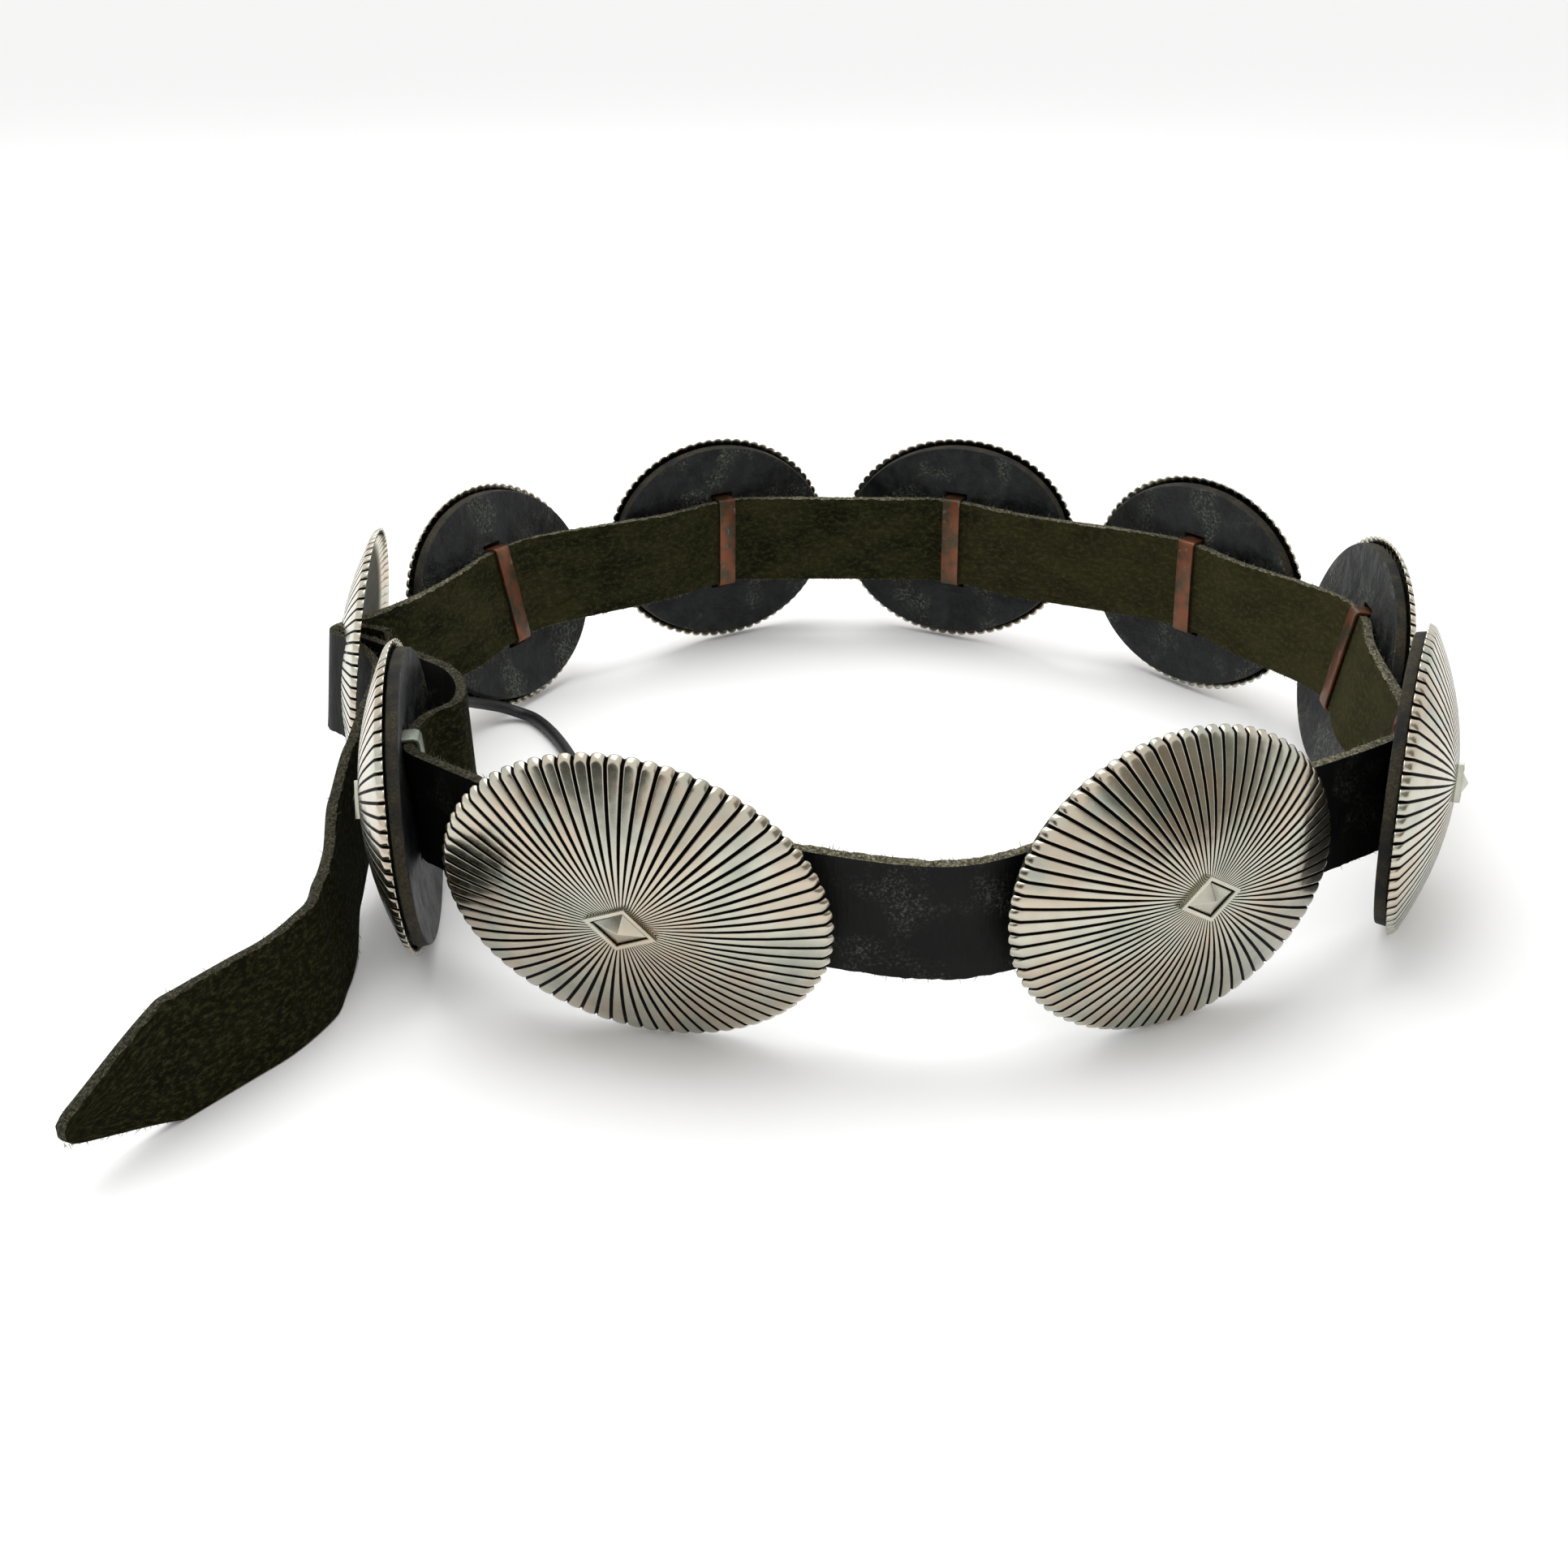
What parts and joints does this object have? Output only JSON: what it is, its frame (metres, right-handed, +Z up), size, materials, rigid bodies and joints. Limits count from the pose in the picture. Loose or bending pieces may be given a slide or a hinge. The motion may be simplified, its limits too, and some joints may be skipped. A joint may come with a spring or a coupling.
{
  "type": "concho belt",
  "caption": "Leather concho belt with oval fluted silver plates, leather backings, copper strap loops and a slotted oval buckle.",
  "frame": {"origin": "under the middle of the belt's box without the lace, on the floor", "axes": "+Z up along the wearer's height, belt standing on its lower edge; -Y towards the two plates in front, -X towards the buckle"},
  "size_m": [0.3404, 0.3544, 0.0775],
  "materials": {
    "silver": "tarnished silver, satin",
    "backing_leather": "scuffed black leather",
    "strap_leather": "black grain outside, olive suede inside",
    "lace_leather": "plain black leather"
  },
  "bodies": {
    "root": {"concho_1": "silver", "concho_2": "silver", "concho_3": "silver", "concho_4": "silver", "concho_5": "silver", "concho_6": "silver", "concho_7": "silver", "concho_8": "silver", "concho_9": "silver", "backing_1": "backing_leather", "backing_2": "backing_leather", "backing_3": "backing_leather", "backing_4": "backing_leather", "backing_5": "backing_leather", "backing_6": "backing_leather", "backing_7": "backing_leather", "backing_8": "backing_leather", "backing_9": "backing_leather", "buckle": "silver", "strap": "strap_leather", "tie_lace": "lace_leather"}
  },
  "joints": []
}
